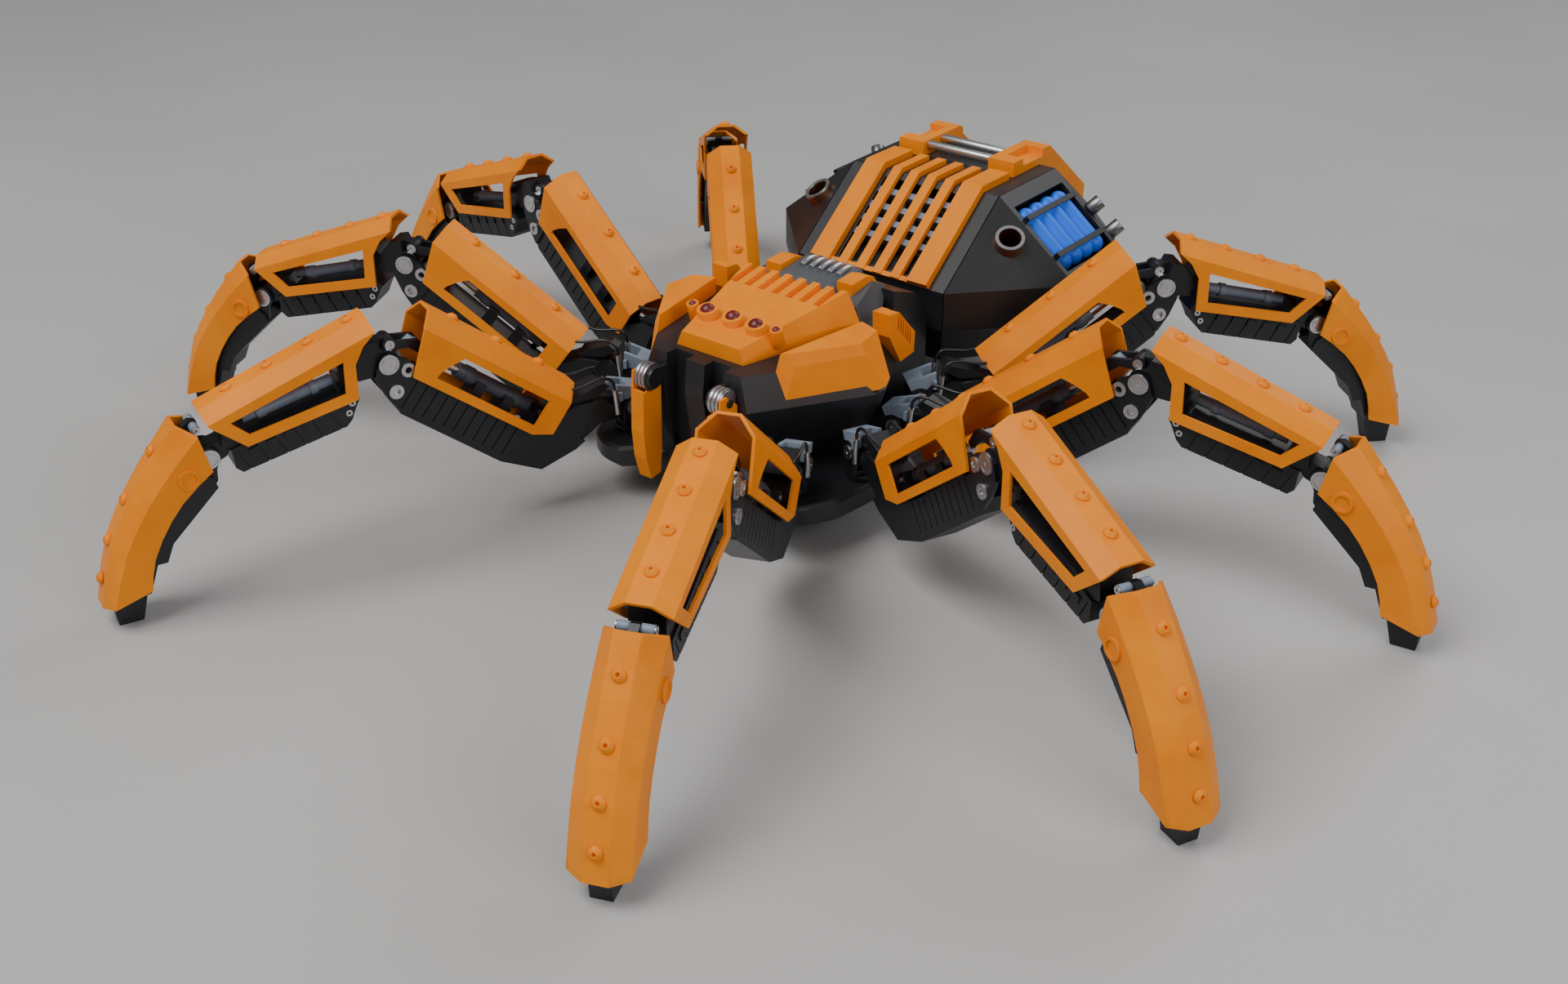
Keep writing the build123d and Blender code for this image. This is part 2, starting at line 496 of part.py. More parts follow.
def cheek():
    """Folded plate over the housing's front corner: top, bright chamfer, side and rear chamfer."""
    a, f, h, b = (46.2, -18.2, 115.5), (51.0, -16.1, 116.9), (75.4, 20.6, 116.9), (55.9, 41.1, 117.2)
    g, i, c = (53.9, -13.8, 109.1), (78.4, 23.3, 110.0), (71.0, 43.5, 117.5)
    j, k, e = (63.0, -13.0, 87.3), (89.0, 26.3, 88.3), (85.0, 38.4, 91.9)
    planes = [(j, k, g), (f, h, g), (f, h, b), (g, j, a), (i, k, c), (c, e, (60.0, 47.0, 110.0)),
              (j, k, (60.0, 20.0, 87.3)), (k, e, (66.0, 30.0, 86.0)), (a, b, (a[0], a[1], 0.0))]
    plate = trimmed(block(24.0, 100.0, -25.0, 60.0, 80.0, 125.0), planes, (62.0, 15.0, 105.0))
    return plate - housing_body() - cover()


def louvre():
    """Finned air outlet behind a cheek."""
    profile = [(69.0, 119.5), (59.0, 120.5), (59.5, 106.0), (72.0, 85.5), (86.5, 87.0), (87.0, 100.5)]
    shape = cross_plate(profile, 57.0, 69.5)
    for k in range(6):
        y = 68.0 + 2.6 * k
        top = 119.5 - 1.055 * (y - 69.0)
        shape -= block(62.0, 72.0, y, y + 1.4, top - 13.0, top + 4.0)
    return shape - housing_body() - cheek() - wings()


def horn():
    profile = [(70.0, 112.0), (70.0, 127.4), (85.0, 128.2), (93.0, 125.6), (98.0, 118.6), (95.4, 117.0),
               (89.0, 121.4), (84.0, 113.0)]
    return cross_plate(profile, 21.9, 33.6) - neck_collar()[0] - housing_body() - cover()


def head_armour():
    return [cover()] + left_right(cheek()) + left_right(louvre()) + left_right(horn())


def fang(side):
    """Curved fang hung from a grooved disc; side +1 is the robot's left."""
    outline = [(-58.8, 86.0), (-60.0, 60.0), (-58.6, 42.0), (-54.6, 27.0), (-46.0, 28.5), (-44.2, 45.0),
               (-43.4, 70.0), (-43.0, 90.5), (-47.0, 94.0), (-52.0, 98.5), (-57.5, 98.5)]
    core = [(-57.0, 84.0), (-58.4, 60.0), (-57.0, 42.4), (-53.2, 28.5), (-40.0, 20.0), (-35.0, 110.0),
            (-57.0, 110.0)]
    x_in, x_out = FANG_X - 4.9, FANG_X + 4.9
    body = cross_plate(outline, x_in, x_out) - cross_plate(core, x_in + 1.6, x_out - 1.6)
    # the inner ear is cut back around the hub
    body -= rod((x_in - 1, HINGE_Y, HINGE_Z), (x_in + 1.65, HINGE_Y, HINGE_Z), 9.0)
    body -= cross_plate([(-70, 86), (-56, 86), (-44, 93), (-30, 93), (-30, 110), (-70, 110)], x_in - 1, x_in + 1.65)
    body -= block(x_in, x_out, -70, -56.0, 86.5, 110) & block(x_in, x_out - 1.65, -70, -30, 80, 120)
    body -= rod((x_out - 2, HINGE_Y, HINGE_Z), (x_out + 1, HINGE_Y, HINGE_Z), AXLE_R + RUN)
    disc = rod((24.5, HINGE_Y, HINGE_Z), (x_out - 1.6, HINGE_Y, HINGE_Z), 7.2)
    for x in (24.5, 27.3, 30.1):
        disc += rod((x, HINGE_Y, HINGE_Z), (x + 2.0, HINGE_Y, HINGE_Z), 8.5)
    disc -= rod((20, HINGE_Y, HINGE_Z), (40, HINGE_Y, HINGE_Z), AXLE_R + RUN)
    shapes = [body, disc]
    return shapes if side > 0 else [mirror(s, about=Plane.YZ) for s in shapes]


# abdomen: an eight-cornered belt under a flat roof
def abdomen_ring(dx, dy, z, cx, cy):
    """Corners of one level: front and rear edge of half width dx at distance dy, side corners at cx, cy."""
    half = [(dx, MID_Y - dy, z), (cx, MID_Y - cy, z), (cx, MID_Y + cy, z), (dx, MID_Y + dy, z)]
    return half + [(-x, y, z0) for x, y, z0 in reversed(half)]


def abdomen_block(t):
    """The abdomen's outer shape, drawn in by t all round."""
    half_x, half_y = EDGE_X - 0.45 * t, ROOF_Y - 0.3 * t
    long, wide = HALF_LONG - 1.2 * t, HALF_WIDE - 1.2 * t
    roof = abdomen_ring(half_x, half_y, ROOF_Z - t, half_x, half_y)
    belt = abdomen_ring(EDGE_X - 0.4 * t, long, BELT_Z, wide, 34.1 - 0.4 * t)
    wall = abdomen_ring(EDGE_X - 0.4 * t, long, 80.0, wide, 34.1 - 0.4 * t)
    base = abdomen_ring(44.0 - 0.8 * t, 76.0 - 0.8 * t, 48.0 + t, 84.0 - 0.8 * t, 28.0 - 0.4 * t)
    return hull(roof, belt) + hull(belt, wall) + hull(wall, base)


FRONT = Plane(origin=(0, MID_Y - HALF_LONG, BELT_Z), x_dir=(1, 0, 0), z_dir=(0, BELT_Z - ROOF_Z, HALF_LONG - ROOF_Y))
FLANK = Plane(origin=(88.0, MID_Y, (ROOF_Z + BELT_Z) / 2), x_dir=(0, 1, 0), z_dir=(ROOF_Z - BELT_Z, 0, 59.4))


def in_plane(plane, x0, x1, y0, y1, z0, z1):
    return plane * block(x0, x1, y0, y1, z0, z1)


PORT_RIM = Vector(77.4, 181.3, 134.7)                  # centre of the left ring port's mouth
PORT_DIR = Vector(0.33, -0.44, 0.835).normalized()


def port_tube(low, high, r):
    """Round bar on the port's axis, from low to high above its mouth."""
    return rod(tuple(PORT_RIM + PORT_DIR * low), tuple(PORT_RIM + PORT_DIR * high), r)


def abdomen_shell():
    shell = abdomen_block(0) - abdomen_block(SHELL_T)
    # panel seams
    seam = block(57.6, 58.3, 120, 345, 80, 160) & (abdomen_block(0) - abdomen_block(1.2))
    shell -= seam
    shell -= mirror(seam, about=Plane.YZ)
    # opening under the grille and the two cylinder bays
    shell -= in_plane(FRONT, -28.5, 28.5, 6.0, 72.0, -9.0, 3.0)
    bay = in_plane(FLANK, -30.5, 30.5, -27.5, 27.0, -9.0, 3.0)
    shell -= bay
    shell -= mirror(bay, about=Plane.YZ)
    for hole in left_right(port_tube(-24.0, 8.0, 9.5)):
        shell -= hole
    return [shell]


def power_pack():
    """Cooling pack behind the grille: tray, cross beams and standing columns."""
    tray = in_plane(FRONT, -31.5, 31.5, 3.0, 75.0, -17.0, -3.4)
    tray -= in_plane(FRONT, -29.5, 29.5, 5.0, 73.0, -15.0, 0)
    tray -= abdomen_block(0) - abdomen_block(SHELL_T)
    beams = []
    for y in (26.0, 37.0, 48.0, 60.0):
        beam = in_plane(FRONT, -29.5, 29.5, y, y + 4.6, -7.0, -3.5)
        beams.append(beam + in_plane(FRONT, -28.3, 28.3, y, y + 4.6, -3.6, -0.3))
    columns = [in_plane(FRONT, x - 4.0, x + 4.0, 26.0, 64.6, -14.9, -7.0) for x in (-6.0, 7.5)]
    pipes = [in_plane(FRONT, x - 1.0, x + 1.0, 5.0, 26.0, -9.0, -7.0) for x in (-1.0, 13.8)]
    return [tray] + beams + columns + pipes


def abdomen_armour():
    """Bent grille bars, carrying handle blocks and the straps down the rear."""
    seat = [(228.7, ROOF_Z), (MID_Y - ROOF_Y, ROOF_Z), (135.9, 106.2)]
    rail = [(132.6, 110.0), (195.8, 158.4), (228.7, 158.4)] + seat
    slat = [(133.4, 108.9), (196.2, 157.2), (228.7, 157.2)] + seat
    bars = left_right(cross_plate(rail, 31.1, 46.2))
    for x0 in (3.5, 17.4):
        bars += left_right(cross_plate(slat, x0, x0 + 6.8))
    foot = cross_plate([(133.9, 108.1), (136.5, 110.2), (138.2, 108.1), (135.9, 106.2)], -31.1, 31.1)
    for b in bars:
        foot -= b
    outline = [(234.0, ROOF_Z), (234.0, 163.5), (281.0, 163.5), (334.5, 121.0), (334.0, 114.0), (329.3, 106.0),
               (MID_Y + ROOF_Y, ROOF_Z)]
    handle = cross_plate(outline, 26.0, 46.0)
    # pocket open to the outside and the narrower strap behind it
    handle -= block(33.0, 47.0, 246.0, 272.0, 158.5, 165.0)
    handle -= block(25.0, 32.0, 284.0, 340.0, 100.0, 165.0)
    handle -= rod((20.0, 241.0, 160.2), (36.0, 241.0, 160.2), ROD_R)
    handle -= rod((20.0, 258.0, 160.2), (32.0, 258.0, 160.2), ROD_R)
    skirt = cross_plate([(329.5, 106.0), (334.0, 113.0), (338.0, 84.0), (329.5, 80.0)], 32.0, 46.0)
    return bars + [foot] + left_right(handle + skirt)


def abdomen_fittings():
    """Chrome rods, ring ports and rear stubs."""
    rods = [rod((-half, y, 160.2), (half, y, 160.2), ROD_R) for y, half in ((241.0, 36.0), (258.0, 32.0))]
    port = port_tube(-20.0, -1.2, 9.5) - port_tube(-21.0, 1.0, 7.4)
    rim = port_tube(-1.2, 0.0, 9.5) - port_tube(-2.0, 1.0, 7.4)
    stubs = left_right(rod_on_rear(268.5, 130.0)) + left_right(rod_on_rear(273.0, 115.3))
    return rods + left_right(port) + left_right(rim) + stubs


def rod_on_rear(y, z):
    """Plain dark stub square to the rear side facet, standing 9.5 mm proud."""
    a = Vector(EDGE_X, MID_Y + HALF_LONG, BELT_Z)
    b = Vector(EDGE_X, MID_Y + ROOF_Y, ROOF_Z)
    c = Vector(HALF_WIDE, MID_Y + 34.1, BELT_Z)
    n = (b - a).cross(c - a).normalized()
    x = a.X - (n.Y * (y - a.Y) + n.Z * (z - a.Z)) / n.X
    foot = Vector(x, y, z)
    return rod(tuple(foot), tuple(foot + n * 9.5), 4.9)


def gas_cylinders():
    """One bay: tray, four cylinders with rounded ends, two straps."""
    tray = in_plane(FLANK, -32.5, 32.5, -29.5, 29.0, -15.5, -3.6)
    tray -= in_plane(FLANK, -30.5, 30.5, -27.5, 27.0, -13.5, 0)
    tray -= abdomen_block(0) - abdomen_block(SHELL_T)
    shapes = [tray]
    for k in range(4):
        y = 13.8 * (k - 1.5)
        cell = Cylinder(CELL_R, CELL_L - 2 * CELL_R) + Pos(0, 0, CELL_L / 2 - CELL_R) * Sphere(CELL_R)
        cell += Pos(0, 0, CELL_R - CELL_L / 2) * Sphere(CELL_R)
        shapes.append(FLANK * Pos(y, 0, -5.4) * Rot(90, 0, 0) * cell)
    for s in (-15.5, 15.5):
        strap = in_plane(FLANK, -30.5, 30.5, s - 1.8, s + 1.8, -13.5, 2.9)
        shapes.append(strap - in_plane(FLANK, -28.9, 28.9, s - 2, s + 2, -14, 1.31))
    return [s for shape in shapes for s in left_right(shape)]


# ---------------------------------------------------------------- write one STEP per node
def save(name, shapes):
    export_step(Compound(children=list(shapes)), "parts/%s.step" % name)


def shifted(shapes):
    return [Pos(0, Y_SHIFT, 0) * s for s in shapes]


BODY = {
    "chassis_plate": chassis_plate, "head_housing": head_housing, "head_armour": head_armour,
    "eye_lenses": eye_lenses, "abdomen_shell": abdomen_shell, "abdomen_armour": abdomen_armour,
    "abdomen_fittings": abdomen_fittings, "gas_cylinders": gas_cylinders, "power_pack": power_pack,
}
for node, make in BODY.items():
    save(node, shifted(make()))
save("neck_assembly", shifted(neck_collar() + saddle() + conduits()))
save("fang_left", shifted(fang(1)))
save("fang_right", shifted(fang(-1)))

LEG_PARTS = {
    "hip_swivel": (hip_swivel(), 0.0, 0.0, 0.0),
    "femur_frame": (femur_frame(), KNEE_OUT, KNEE_Z, FEMUR_PITCH),
    "femur_armour": (femur_armour(), KNEE_OUT, KNEE_Z, FEMUR_PITCH),
    "tibia_frame": (tibia_frame(), KNEE_OUT, KNEE_Z, TIBIA_PITCH),
    "tibia_armour": (tibia_armour(), KNEE_OUT, KNEE_Z, TIBIA_PITCH),
    "tarsus": (tarsus(), ANKLE_OUT, ANKLE_Z, TARSUS_PITCH),
}
for part, (shapes, out, z, pitch) in LEG_PARTS.items():
    for leg in LEGS:
        for side, letter in ((1, "l"), (-1, "r")):
            save("%s_%s%s" % (part, letter, leg), [place(s, leg, side, out, z, pitch) for s in shapes])
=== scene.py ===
import math

import bmesh
import bpy
import numpy as np
from mathutils import Matrix, Vector


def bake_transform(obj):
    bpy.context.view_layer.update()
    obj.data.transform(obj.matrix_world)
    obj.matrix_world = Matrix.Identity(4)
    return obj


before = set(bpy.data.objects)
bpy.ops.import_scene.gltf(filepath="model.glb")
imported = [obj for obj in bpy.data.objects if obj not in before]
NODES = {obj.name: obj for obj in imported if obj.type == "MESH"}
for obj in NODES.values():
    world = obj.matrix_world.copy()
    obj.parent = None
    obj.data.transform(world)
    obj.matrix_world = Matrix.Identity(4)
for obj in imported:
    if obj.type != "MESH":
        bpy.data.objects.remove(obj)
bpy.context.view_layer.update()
MM = 0.001
TO_MM = 1000.0
Y_SHIFT = -1.98

# ------------------------------------------------------------------ link frames (millimetres)
LEGS = {"1": (66.1, -28.7, -68.2), "2": (86.0, 8.4, -25.5), "3": (82.5, 53.0, 7.6), "4": (69.9, 91.0, 46.7)}
HIP_Z = 56.7
KNEE = (151.6, 123.1)
TIBIA_L = 110.0
PITCH = {"femur": 38.4, "tibia": -17.5, "tarsus": -59.0}
ANKLE = (KNEE[0] + TIBIA_L * math.cos(math.radians(-17.5)), KNEE[1] + TIBIA_L * math.sin(math.radians(-17.5)))
ORIGIN = {"swivel": (0.0, 0.0), "femur": KNEE, "tibia": KNEE, "tarsus": ANKLE}


def link_matrix(leg, side, link):
    """Link frame to row frame, millimetres in both."""
    x, y, yaw = LEGS[leg]
    turn = math.radians(yaw if side > 0 else 180 - yaw)
    out, z = ORIGIN[link]
    pitch = math.radians(PITCH.get(link, 0.0))
    base = Matrix.Translation((side * x, y + Y_SHIFT, 0)) @ Matrix.Rotation(turn, 4, "Z")
    return base @ Matrix.Translation((out, 0, z)) @ Matrix.Rotation(-pitch, 4, "Y")


# ------------------------------------------------------------------ materials
def node_tree(name):
    mat = bpy.data.materials.new(name)
    mat.use_nodes = True
    nt = mat.node_tree
    bsdf = nt.nodes["Principled BSDF"]
    return mat, nt, bsdf


def noise(nt, scale, detail=4.0, rough=0.55):
    """Noise value in the object's own coordinates; scale is per metre."""
    coord = nt.nodes.new("ShaderNodeTexCoord")
    tex = nt.nodes.new("ShaderNodeTexNoise")
    tex.inputs["Scale"].default_value = scale
    tex.inputs["Detail"].default_value = detail
    tex.inputs["Roughness"].default_value = rough
    nt.links.new(coord.outputs["Object"], tex.inputs["Vector"])
    return tex.outputs["Fac"]


def ramp(nt, value, stops):
    """Colour ramp; stops is a list of (position, rgb)."""
    node = nt.nodes.new("ShaderNodeValToRGB")
    els = node.color_ramp.elements
    while len(els) < len(stops):
        els.new(0.5)
    for el, (pos, col) in zip(els, stops):
        el.position = pos
        el.color = (*col, 1.0)
    nt.links.new(value, node.inputs["Fac"])
    return node.outputs["Color"]


def scalar(nt, value, low, high):
    """Maps a value from 0..1 to low..high."""
    node = nt.nodes.new("ShaderNodeMapRange")
    node.inputs["To Min"].default_value = low
    node.inputs["To Max"].default_value = high
    nt.links.new(value, node.inputs["Value"])
    return node.outputs["Result"]


def mix(nt, fac, a, rgb):
    """Mixes the colour socket a with a fixed colour, by the value socket fac."""
    node = nt.nodes.new("ShaderNodeMix")
    node.data_type = "RGBA"
    node.blend_type = "MIX"
    socket = {i.identifier: i for i in node.inputs}
    nt.links.new(fac, socket["Factor_Float"])
    nt.links.new(a, socket["A_Color"])
    socket["B_Color"].default_value = (*rgb, 1.0)
    return [o for o in node.outputs if o.identifier == "Result_Color"][0]


def bump(nt, bsdf, heights):
    """Chains bump maps: heights is a list of (value, strength, distance in metres)."""
    normal = None
    for value, strength, distance in heights:
        node = nt.nodes.new("ShaderNodeBump")
        node.inputs["Strength"].default_value = strength
        node.inputs["Distance"].default_value = distance
        nt.links.new(value, node.inputs["Height"])
        if normal:
            nt.links.new(normal, node.inputs["Normal"])
        normal = node.outputs["Normal"]
    nt.links.new(normal, bsdf.inputs["Normal"])


def painted(name, base, deep, pale, rough=(0.40, 0.50), coat=0.06, grain=0.10, level=0.4):
    """Satin moulded shell: gently mottled colour and a fine orange-peel grain."""
    mat, nt, bsdf = node_tree(name)
    cloud = noise(nt, 26.0, 5.0)
    speck = noise(nt, 420.0, 3.0, 0.6)
    body = ramp(nt, cloud, [(0.30, deep), (0.52, base), (0.74, pale)])
    body = mix(nt, scalar(nt, speck, 0.0, 0.14), body, deep)
    nt.links.new(body, bsdf.inputs["Base Color"])
    nt.links.new(scalar(nt, cloud, *rough), bsdf.inputs["Roughness"])
    bsdf.inputs["Coat Weight"].default_value = coat
    bsdf.inputs["Coat Roughness"].default_value = 0.3
    bsdf.inputs["Specular IOR Level"].default_value = level
    bump(nt, bsdf, [(speck, grain, 0.0002), (noise(nt, 90.0, 2.0), 0.04, 0.0004)])
    return mat


def metal(name, base, rough, grain=0.008):
    """Brushed metal: streaky gloss over a slightly clouded colour."""
    mat, nt, bsdf = node_tree(name)
    streak = noise(nt, 140.0, 4.0, 0.6)
    cloud = noise(nt, 30.0, 3.0)
    dark = tuple(c * 0.85 for c in base)
    nt.links.new(ramp(nt, cloud, [(0.3, dark), (0.6, base)]), bsdf.inputs["Base Color"])
    nt.links.new(scalar(nt, streak, *rough), bsdf.inputs["Roughness"])
    bsdf.inputs["Metallic"].default_value = 1.0
    bump(nt, bsdf, [(streak, grain, 0.0002)])
    return mat


def lens():
    """Deep red lens with a soft gloss."""
    mat, nt, bsdf = node_tree("lens_red")
    cloud = noise(nt, 160.0, 3.0)
    red = ramp(nt, cloud, [(0.35, (0.115, 0.004, 0.008)), (0.7, (0.20, 0.008, 0.014))])
    nt.links.new(red, bsdf.inputs["Base Color"])
    nt.links.new(scalar(nt, cloud, 0.34, 0.42), bsdf.inputs["Roughness"])
    bsdf.inputs["Coat Weight"].default_value = 0.12
    bsdf.inputs["Coat Roughness"].default_value = 0.18
    bump(nt, bsdf, [(noise(nt, 600.0), 0.02, 0.0001)])
    return mat


ORANGE = painted("orange_shell", (0.93, 0.268, 0.002), (0.84, 0.225, 0.001), (0.98, 0.305, 0.004),
                 coat=0.02, level=0.2)
BLACK = painted("black_frame", (0.010, 0.012, 0.016), (0.007, 0.008, 0.011), (0.015, 0.018, 0.023),
                rough=(0.36, 0.48), grain=0.14)
HULL = painted("dark_hull", (0.014, 0.015, 0.018), (0.010, 0.011, 0.014), (0.019, 0.020, 0.024),
               rough=(0.38, 0.48), grain=0.08, level=0.55)
SILVER = metal("bright_silver", (0.64, 0.64, 0.66), rough=(0.30, 0.40))
DARK_CHROME = metal("dark_chrome", (0.26, 0.27, 0.29), rough=(0.32, 0.42))
BARREL = painted("dark_barrel", (0.060, 0.072, 0.095), (0.046, 0.056, 0.075), (0.078, 0.092, 0.118),
                 level=0.5)
STEEL = painted("blue_grey_barrel", (0.20, 0.25, 0.33), (0.16, 0.20, 0.27), (0.25, 0.30, 0.39))
PALE = painted("pale_bracket", (0.26, 0.33, 0.42), (0.20, 0.26, 0.34), (0.32, 0.40, 0.50))
BLUE = painted("blue_cell", (0.006, 0.165, 0.95), (0.004, 0.13, 0.85), (0.012, 0.21, 1.0),
               rough=(0.38, 0.48), coat=0.12)
GREY = painted("grey_collar", (0.092, 0.100, 0.112), (0.072, 0.079, 0.090), (0.112, 0.121, 0.135))
HOSE = painted("rubber_hose", (0.010, 0.011, 0.014), (0.006, 0.007, 0.009), (0.017, 0.019, 0.024),
               rough=(0.28, 0.38), grain=0.10, level=0.6)
# copper metal on the ring ports: the copper colour is a painted reflection
COPPER_REFLECTION_PAINT = metal("copper_port_painted_reflection", (0.66, 0.30, 0.15), rough=(0.28, 0.38))
LENS = lens()


# ------------------------------------------------------------------ splitting a CAD node into its solids
WELD_GRID = 200          # cells per millimetre: corners in the same cell are one point
MICRO_GRID = 2e5         # the same grid, in cells per metre


def corners(me):
    """The mesh's vertex coordinates as an array, metres."""
    co = np.empty(len(me.vertices) * 3, np.float32)
    me.vertices.foreach_get("co", co)
    return co.reshape(-1, 3).astype(float)


def solids(obj, to_link):
    """The node's loose solids: (polygon indices, low corner, high corner), corners in the link frame, mm."""
    me = obj.data
    co = corners(me) * TO_MM
    key = np.round(co * WELD_GRID).astype(np.int64)
    _, merged = np.unique(key, axis=0, return_inverse=True)
    merged = merged.ravel()
    parent = np.arange(merged.max() + 1)

    def find(a):
        while parent[a] != a:
            parent[a] = parent[parent[a]]
            a = parent[a]
        return a

    polys = [tuple(p.vertices) for p in me.polygons]
    for vs in polys:
        a = find(merged[vs[0]])
        for v in vs[1:]:
            b = find(merged[v])
            if a != b:
                parent[b] = a
    m = np.array(to_link)
    local = co @ m[:3, :3].T + m[:3, 3]
    groups = {}
    for i, vs in enumerate(polys):
        groups.setdefault(find(merged[vs[0]]), []).append(i)
    out = []
    for idx in groups.values():
        used = sorted({v for i in idx for v in polys[i]})
        pts = local[used]
        out.append((idx, pts.min(0), pts.max(0)))
    return out


def paint(obj, to_link, rule):
    """Gives each solid of a node its material; rule(centre, size) returns one."""
    me = obj.data
    me.materials.clear()
    slots = {}
    for idx, lo, hi in solids(obj, to_link):
        mat = rule((lo + hi) / 2, hi - lo)
        if mat.name not in slots:
            me.materials.append(mat)
            slots[mat.name] = len(me.materials) - 1
        for i in idx:
            me.polygons[i].material_index = slots[mat.name]


def repaint(obj, to_link, test, mat):
    """Gives the polygons whose corners (an array, link frame, mm) pass the test another material."""
    me = obj.data
    m = np.array(to_link)
    local = corners(me) * TO_MM @ m[:3, :3].T + m[:3, 3]
    if mat.name not in [m.name for m in me.materials]:
        me.materials.append(mat)
    index = [m.name for m in me.materials].index(mat.name)
    for p in me.polygons:
        if test(local[list(p.vertices)]):
            p.material_index = index


SLACK = 0.06             # millimetres allowed round a radius or a face
END_SLACK = 0.2          # millimetres allowed past a bar's ends


def round_end(x, z, r, n, hole=0.0):
    """Test for a round end on a link's side: between radii hole and r round (x, z), outside half width n."""
    def test(pts):
        away = np.hypot(pts[:, 0] - x, pts[:, 2] - z)
        in_ring = (away < r + SLACK).all() and (away > hole - SLACK).all()
        return bool(in_ring and (abs(pts[:, 1]) > n - SLACK).all())
    return test


def round_bar(a, b, r):
    """Test for a round bar of radius r from point a to point b."""
    a, b = np.array(a, float), np.array(b, float)
    length = np.linalg.norm(b - a)
    way = (b - a) / length

    def test(pts):
        t = (pts - a) @ way
        off = np.linalg.norm(pts - a - np.outer(t, way), axis=1)
        return bool((off < r).all() and (t > -END_SLACK).all() and (t < length + END_SLACK).all())
    return test


STRIP = 0.0045           # widest polygon, metres, that counts as part of a round surface
TURN_LOW, TURN_HIGH = 1.0, 26.0    # degrees between neighbouring strips of a round surface


def shade(obj):
    """Smooth shading on round surfaces only; flat facets stay flat.

    A polygon is round when it is a narrow strip with a neighbour turned by a small angle."""
    me = obj.data
    npoly = len(me.polygons)
    co = corners(me)
    _, merged = np.unique(np.round(co * MICRO_GRID).astype(np.int64), axis=0, return_inverse=True)
    merged = merged.ravel()
    normal = np.empty(npoly * 3, np.float32)
    me.polygons.foreach_get("normal", normal)
    normal = normal.reshape(-1, 3)
    narrow = np.zeros(npoly, bool)
    edges = {}
    for p in me.polygons:
        vs = p.vertices
        pts = co[list(vs)]
        longest = max(np.linalg.norm(pts - np.roll(pts, 1, 0), axis=1).max(), 1e-9)
        narrow[p.index] = 2 * p.area / longest < STRIP
        for k in range(len(vs)):
            a, b = merged[vs[k]], merged[vs[k - 1]]
            edges.setdefault((min(a, b), max(a, b)), []).append(p.index)
    low, high = math.cos(math.radians(TURN_HIGH)), math.cos(math.radians(TURN_LOW))
    smooth = np.zeros(npoly, bool)
    strips = [pair for pair in edges.values() if len(pair) == 2 and narrow[pair[0]] and narrow[pair[1]]]
    for a, b in strips:
        if low < float(normal[a] @ normal[b]) < high:
            smooth[a] = smooth[b] = True
    for a, b in strips:          # the flat other half of a strip that was split in two
        if float(normal[a] @ normal[b]) >= high and (smooth[a] or smooth[b]):
            smooth[a] = smooth[b] = True
    me.polygons.foreach_set("use_smooth", smooth)


SHARP = 28.0             # edges that turn more than this many degrees are rounded


def soften(obj, width):
    """Rounds the sharp edges of a CAD node for the light to catch; its own mesh stays as it is."""
    shade(obj)
    weld = obj.modifiers.new("weld", "WELD")
    weld.merge_threshold = 1e-6
    bev = obj.modifiers.new("bevel", "BEVEL")
    bev.width = width
    bev.segments = 2
    bev.limit_method = "ANGLE"
    bev.angle_limit = math.radians(SHARP)
    bev.harden_normals = True
    bev.use_clamp_overlap = True


# Each rule gives a solid its material from its centre c and size s, millimetres in its link's frame.
def always(mat):
    return lambda centre, size: mat


def femur_rule(c, s):
    """Belly and fairing black, actuator dark, rings, pins and small plates silver."""
    if s[0] > 90:
        return BLACK
    if s[0] > 45 and s[1] < 14:
        return BARREL
    if abs(c[0] + 12.1) < 3 and s[2] < 9.5:
        return SILVER
    if s[1] > 20 and s[2] < 7:
        return BLACK
    if abs(c[0]) < 1.5 and s[1] < 3:
        return SILVER
    if s[2] < 4 and s[1] < 1.5:
        return SILVER
    return BLACK


def tibia_rule(c, s):
    """Frame black, actuator blue-grey, arms and their rod ends silver or pale."""
    if s[0] > 90:
        return BLACK
    if s[0] > 40:
        return STEEL
    if s[1] < 1.6 and s[2] < 6.5:
        return SILVER
    if abs(c[1]) < 1 and s[1] > 6 and s[0] > 8:
        return PALE
    if s[0] > 10 and s[1] < 4:
        return BLACK
    return SILVER if s[1] > 10 else BLACK


def tarsus_rule(c, s):
    """Channel, studs and bosses orange; discs and pins silver; claw frame and foot black."""
    if s[2] < 5 and s[0] < 9 and abs(c[1]) < 1 and c[2] > 18:
        return ORANGE
    if abs(c[1]) > 14:
        return ORANGE
    if s[0] > 95 and c[2] > 10:
        return ORANGE
    if s[0] < 13 and abs(c[0]) < 2:
        return SILVER
    if c[0] < -12 and s[0] < 6:
        return SILVER if s[1] < 2 else PALE
    return BLACK


def swivel_rule(c, s):
    """Yoke black, hose brackets and their bridge pale, ferrules and caps silver."""
    if s[1] < 4.5 and s[2] > 14:
        return SILVER
    if c[2] > 64.5:
        return PALE
    return BLACK if s[2] > 20 else SILVER


